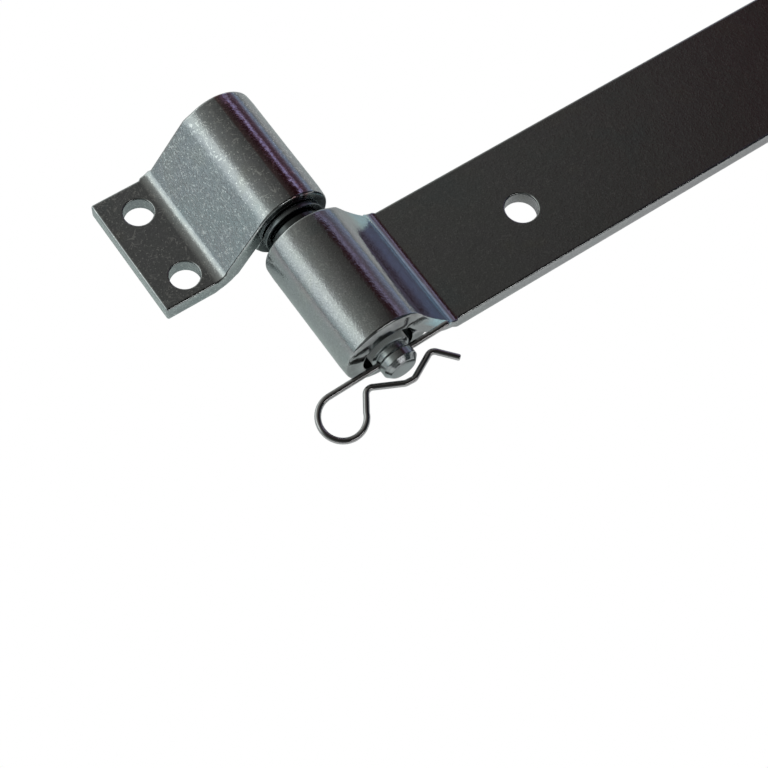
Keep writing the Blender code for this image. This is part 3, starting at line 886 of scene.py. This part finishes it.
def make_world():
    """Dark overhead and paler towards the sides, as in a tent with an open top. White behind the object."""
    world = bpy.data.worlds.new("studio")
    bpy.context.scene.world = world
    world.use_nodes = True
    tree = world.node_tree
    nodes = tree.nodes
    links = tree.links
    nodes.clear()
    coords = nodes.new("ShaderNodeTexCoord")
    unit = nodes.new("ShaderNodeVectorMath")
    unit.operation = "NORMALIZE"
    links.new(coords.outputs["Generated"], unit.inputs[0])

    def tone(centre, stops):
        """Colour by the angle from a centre direction, in degrees."""
        dot = nodes.new("ShaderNodeVectorMath")
        dot.operation = "DOT_PRODUCT"
        dot.inputs[1].default_value = Vector(centre).normalized()
        links.new(unit.outputs["Vector"], dot.inputs[0])
        angle = nodes.new("ShaderNodeMath")
        angle.operation = "ARCCOSINE"
        links.new(dot.outputs["Value"], angle.inputs[0])
        share = nodes.new("ShaderNodeMath")
        share.operation = "DIVIDE"
        share.inputs[1].default_value = pi
        links.new(angle.outputs[0], share.inputs[0])
        node = nodes.new("ShaderNodeValToRGB")
        elements = node.color_ramp.elements
        while len(elements) > 1:
            elements.remove(elements[-1])
        for i, (degrees_out, color) in enumerate(stops):
            element = elements[0] if i == 0 else elements.new(degrees_out / 180.0)
            element.position = degrees_out / 180.0
            element.color = (color[0], color[1], color[2], 1.0)
        links.new(share.outputs[0], node.inputs["Fac"])
        return node.outputs["Color"]

    left = tone(LEFT_CENTRE, LEFT_SKY)
    right = tone(RIGHT_CENTRE, RIGHT_SKY)
    axes = nodes.new("ShaderNodeSeparateXYZ")
    links.new(unit.outputs["Vector"], axes.inputs[0])
    side = nodes.new("ShaderNodeMapRange")
    side.interpolation_type = "SMOOTHSTEP"
    side.inputs["From Min"].default_value = 0.42
    side.inputs["From Max"].default_value = 0.62
    links.new(axes.outputs["X"], side.inputs["Value"])
    blend = nodes.new("ShaderNodeMix")
    blend.data_type = "RGBA"
    links.new(side.outputs["Result"], blend.inputs[0])
    links.new(left, blend.inputs[6])
    links.new(right, blend.inputs[7])
    near = nodes.new("ShaderNodeMapRange")
    near.interpolation_type = "SMOOTHSTEP"
    near.inputs["From Min"].default_value = -0.25
    near.inputs["From Max"].default_value = 0.20
    near.inputs["To Min"].default_value = 0.13
    near.inputs["To Max"].default_value = 1.0
    links.new(axes.outputs["Y"], near.inputs["Value"])
    room = nodes.new("ShaderNodeBackground")
    links.new(blend.outputs[2], room.inputs["Color"])
    links.new(near.outputs["Result"], room.inputs["Strength"])
    white = nodes.new("ShaderNodeBackground")
    white.inputs["Color"].default_value = (1.0, 1.0, 1.0, 1.0)
    path = nodes.new("ShaderNodeLightPath")
    pick = nodes.new("ShaderNodeMixShader")
    links.new(path.outputs["Is Camera Ray"], pick.inputs["Fac"])
    links.new(room.outputs[0], pick.inputs[1])
    links.new(white.outputs[0], pick.inputs[2])
    output = nodes.new("ShaderNodeOutputWorld")
    links.new(pick.outputs[0], output.inputs["Surface"])


def make_floor():
    """A pale lit table: pure white to look at; in the metal's reflections it has soft contact shadows, and
    its colour is painted darker towards the hinge as painted shade.
    """
    mesh = bpy.data.meshes.new("floor")
    side = 3.0
    level = cad_low.z - 0.0002
    mesh.from_pydata([(-side, -side, level), (side, -side, level), (side, side, level), (-side, side, level)],
                     [], [(0, 1, 2, 3)])
    floor = bpy.data.objects.new("floor", mesh)
    bpy.context.scene.collection.objects.link(floor)
    material = bpy.data.materials.new("pale_table")
    material.use_nodes = True
    tree = material.node_tree
    tree.nodes.clear()
    paper = tree.nodes.new("ShaderNodeBsdfDiffuse")
    spot = tree.nodes.new("ShaderNodeTexCoord")
    away = tree.nodes.new("ShaderNodeVectorMath")
    away.operation = "LENGTH"
    tree.links.new(spot.outputs["Object"], away.inputs[0])
    # Painted shade: the table's colour darkens towards the hinge.
    shade = tree.nodes.new("ShaderNodeMapRange")
    shade.data_type = "FLOAT_VECTOR"
    shade.interpolation_type = "SMOOTHSTEP"
    value, from_min, from_max, to_min, to_max = shade.inputs[6:11]
    from_min.default_value = (0.02, 0.02, 0.02)
    from_max.default_value = (0.14, 0.14, 0.14)
    to_min.default_value = (0.77, 0.86, 0.84)
    to_max.default_value = (1.0, 1.0, 1.0)
    tree.links.new(away.outputs["Value"], value)
    tree.links.new(shade.outputs[1], paper.inputs["Color"])
    white = tree.nodes.new("ShaderNodeEmission")
    path = tree.nodes.new("ShaderNodeLightPath")
    pick = tree.nodes.new("ShaderNodeMixShader")
    tree.links.new(path.outputs["Is Camera Ray"], pick.inputs["Fac"])
    tree.links.new(paper.outputs[0], pick.inputs[1])
    tree.links.new(white.outputs[0], pick.inputs[2])
    output = tree.nodes.new("ShaderNodeOutputMaterial")
    tree.links.new(pick.outputs[0], output.inputs["Surface"])
    mesh.materials.append(material)


def make_area(name, towards, distance, width, height, power):
    """A soft box in the direction 'towards' from the knuckles, facing them."""
    light = bpy.data.lights.new(name, "AREA")
    light.shape = "RECTANGLE"
    light.size = width
    light.size_y = height
    light.energy = power
    lamp = bpy.data.objects.new(name, light)
    direction = Vector(towards).normalized()
    lamp.location = Vector((0.03, -0.03, 0.02)) + direction * distance
    lamp.rotation_euler = direction.to_track_quat("Z", "Y").to_euler()
    bpy.context.scene.collection.objects.link(lamp)
    return lamp


def make_camera():
    """The photograph's viewpoint."""
    data = bpy.data.cameras.new("camera")
    data.sensor_width = CAMERA_SENSOR
    data.lens = CAMERA_LENS
    camera = bpy.data.objects.new("camera", data)
    bpy.context.scene.collection.objects.link(camera)
    stand = Vector(CAMERA_STAND) * MM
    target = Vector(CAMERA_TARGET) * MM
    look = (target - stand).normalized()
    level = look.to_track_quat("-Z", "Y").to_matrix().to_4x4()
    roll = Matrix.Rotation(radians(CAMERA_ROLL), 4, "Z")
    camera.matrix_world = Matrix.Translation(stand) @ level @ roll
    bpy.context.scene.camera = camera


# ---- build

def spaced(start, end, cells):
    """Evenly spaced values, with both ends."""
    return [start + (end - start) * i / cells for i in range(cells + 1)]


def build_strap(zinc):
    hole_y = HOLE_OFFSET_Y
    lines = [-19.1, -18.6, -17.6, -16.2, -14.4, -12.2, -10.4]
    lines += spaced(hole_y - STRAP_PATCH, hole_y + STRAP_PATCH, HOLE_CELLS)
    lines += [8.6, 10.6, 12.6, 14.6, 16.3, 17.6, 18.6, 19.1]
    stations, spans = leaf_stations(STRAP_RADIUS, STRAP_TOP_Z, STRAP_LENGTH, STRAP_BEND_RADIUS,
                                    STRAP_SLOPE_BOW, STRAP_HOLES, STRAP_PATCH)
    holes = [(span, (x, hole_y)) for span, x in zip(spans, STRAP_HOLES)]
    shape = sweep_leaf(STRAP_RADIUS, stations, STRAP_PATCH, lines, holes, STRAP_HOLE_RADIUS, -HALF_WIDTH, 1.0,
                       STRAP_BULGE, crank_reflection)
    make_piece("strap_bar", shape, "strap", "strap_leaf", zinc)


def build_bracket(zinc):
    low_y = HOLE_OFFSET_Y - BRACKET_HOLE_PITCH / 2.0
    high_y = HOLE_OFFSET_Y + BRACKET_HOLE_PITCH / 2.0
    lines = [-19.1] + spaced(low_y - BRACKET_PATCH, low_y + BRACKET_PATCH, HOLE_CELLS) + spaced(-5.5, 3.5, 6)
    lines += spaced(high_y - BRACKET_PATCH, high_y + BRACKET_PATCH, HOLE_CELLS) + [17.8, 18.6, 19.1]
    stations, spans = leaf_stations(BRACKET_RADIUS, BRACKET_TOP_Z, BRACKET_LENGTH, BRACKET_BEND_RADIUS,
                                    BRACKET_SLOPE_BOW, (BRACKET_HOLE_X,), BRACKET_PATCH)
    holes = [(spans[0], (BRACKET_HOLE_X, low_y)), (spans[0], (BRACKET_HOLE_X, high_y))]
    shape = sweep_leaf(BRACKET_RADIUS, stations, BRACKET_PATCH, lines, holes, BRACKET_HOLE_RADIUS,
                       KNUCKLE_SPACING + HALF_WIDTH, -1.0, BRACKET_BULGE, roll_reflection)
    make_piece("bracket_bar", shape, "bracket", "bracket_leaf", zinc)


def build_washer(metal):
    segments = 128
    high = KNUCKLE_SPACING - WASHER_PLAY
    low = high - WASHER_THICKNESS
    profile = rounded([(WASHER_BORE, high), (WASHER_RADIUS, high), (WASHER_RADIUS, low), (WASHER_BORE, low),
                       (WASHER_BORE, high)], 0.25)[1:]
    verts, faces, rim = lathe(profile, segments)
    close_ring(faces, len(profile), segments)
    make_piece("washer_disc", (verts, faces, rim, None, None), "bracket", "thrust_washer",
               metal)


def build_pin(metal):
    outline = [(0.0, 47.8), (6.15, 47.8), (6.7, 47.2), (6.7, 3.75), (7.4, 3.75), (7.7, 3.4), (7.7, -35.6),
               (7.3, -36.0), (SHOULDER, -36.0), (SHOULDER, -36.6)]
    profile = rounded(outline, 0.2)[:-1]
    profile += [(SHOULDER, y, 0.5) for y in spaced(-36.8, -40.9, 6)]
    tail = [(SHOULDER, -41.0), (SHOULDER, -41.05), (5.45, -41.25), (4.75, -41.3), (4.7, -43.1),
            (4.95, -43.25), (5.2, -43.6), (5.2, -45.7), (3.85, -47.15), (0.0, -47.2)]
    profile += rounded(tail, 0.16)
    verts, faces, rim = lathe(profile, 6 * TEETH, serrate)
    toothed = [0.0] * len(verts)
    for i, (x, y, z) in enumerate(verts):
        if SHOULDER_END < y < SHOULDER_START:
            toothed[i] = 1.0
            rim[i] = 1.0 - (SHOULDER - sqrt(x * x + z * z)) / TOOTH_DEPTH
    pin = make_piece("turned_pin", (verts, faces, rim, toothed, None), "bracket", "hinge_pin",
                     metal)
    drill_pin(pin)


def build_weld(metal):
    segments = 240
    section = [(7.0, 47.6, 0.3), (7.25, 47.58, 0.3), (7.6, 47.45, 0.4), (7.95, 47.2, 0.4), (8.2, 46.9, 0.4),
               (8.35, 46.6, 0.3), (8.4, WELD_BASE_Y, 0.2), (7.7, WELD_BASE_Y, 0.0), (7.0, WELD_BASE_Y, 0.0)]
    verts, faces, rim = lathe(section, segments, ripple_weld)
    close_ring(faces, len(section), segments)
    make_piece("weld_bead", (verts, faces, rim, None, None), "bracket", "pin_weld", metal)


def build_clip(metal):
    verts, faces, rim = sweep_wire(clip_path(), WIRE_RADIUS, WIRE_SIDES)
    make_piece("clip_wire", (verts, faces, rim, None, None), "clip", "r_clip", metal)


def ripple_weld(radius, y, angle):
    """Sinks the bead a little between one weld ripple and the next."""
    ripple = 0.5 + 0.5 * sin(26.0 * angle + 0.8 * sin(5.0 * angle))
    lift = (y - WELD_BASE_Y) / WELD_HEIGHT
    return radius - 0.12 * ripple * lift, y - 0.10 * ripple * lift


def serrate(radius, y, angle):
    """Presses fine teeth, which run along the pin, into its shoulder."""
    if radius != SHOULDER or y > SHOULDER_START:
        return radius, y
    return radius - TOOTH_DEPTH * (0.5 + 0.5 * cos(TEETH * angle)), y


def drill_pin(pin):
    """Cuts the clip's cross hole through the pin."""
    leg = clip_axes()[0]
    centre = (PIN_HOME + Vector((0.0, CROSS_HOLE_Y, 0.0))) * MM
    mesh = bpy.data.meshes.new("drill")
    work = bmesh.new()
    bmesh.ops.create_cone(work, cap_ends=True, segments=48, radius1=CROSS_HOLE_RADIUS * MM,
                          radius2=CROSS_HOLE_RADIUS * MM, depth=DRILL_LENGTH * MM)
    work.to_mesh(mesh)
    work.free()
    mesh.transform(Matrix.Translation(centre) @ leg.to_track_quat("Z", "Y").to_matrix().to_4x4())
    drill = bpy.data.objects.new("drill", mesh)
    bpy.context.scene.collection.objects.link(drill)
    step = pin.modifiers.new("cross_hole", "BOOLEAN")
    step.operation = "DIFFERENCE"
    step.solver = "EXACT"
    step.object = drill
    bpy.context.view_layer.update()
    cut = bpy.data.meshes.new_from_object(pin.evaluated_get(bpy.context.evaluated_depsgraph_get()))
    pin.modifiers.clear()
    pin.data = cut
    bpy.data.objects.remove(drill, do_unlink=True)
    cut.shade_smooth()
    cut.set_sharp_from_angle(angle=radians(50.0))


# Painted reflection colours multiply the plating's own: a blue reflection on the strap, a dark maroon band
# and then a bright violet streak on the bracket
strap_zinc = zinc_plate("zinc_strap", (0.460, 0.480, 0.480), 0.095, 0.22, 0.22, 1.0,
                        [(0.0, (1.0, 1.0, 1.0)), (1.0, (1.10, 1.55, 1.68))])
bracket_zinc = zinc_plate("zinc_bracket", (0.455, 0.480, 0.485), 0.09, 0.20, 0.85, 4.0,
                          [(0.0, (1.0, 1.0, 1.0)), (0.30, (0.72, 0.50, 0.50)), (0.62, (0.60, 0.36, 0.38)),
                           (1.0, (1.75, 1.70, 1.95))])
pin_metal = turned_steel("zinc_pin", (0.42, 0.45, 0.45), 0.17, 5200.0, 0.30, SHADE_START_Y * MM)
# The washer's near-black tint is painted shade of the gap between the knuckles.
shaded_washer_metal = turned_steel("shaded_washer", (0.15, 0.165, 0.17), 0.20, 900.0, 0.15)
wire = spring_wire("bright_wire")
weld = weld_metal("weld_metal")
build_strap(strap_zinc)
build_bracket(bracket_zinc)
build_washer(shaded_washer_metal)
build_pin(pin_metal)
build_weld(weld)
build_clip(wire)
make_world()
make_floor()
make_area("window_front", towards=(0.20, -0.85, 0.45), distance=1.6, width=1.0, height=0.14, power=1.1)
table_light = make_area("table_light", towards=(-0.22, -0.52, 0.80), distance=0.60, width=0.30, height=0.30,
                        power=1.75)
table_light.visible_glossy = False
make_camera()
bpy.context.scene.view_settings.view_transform = "Standard"
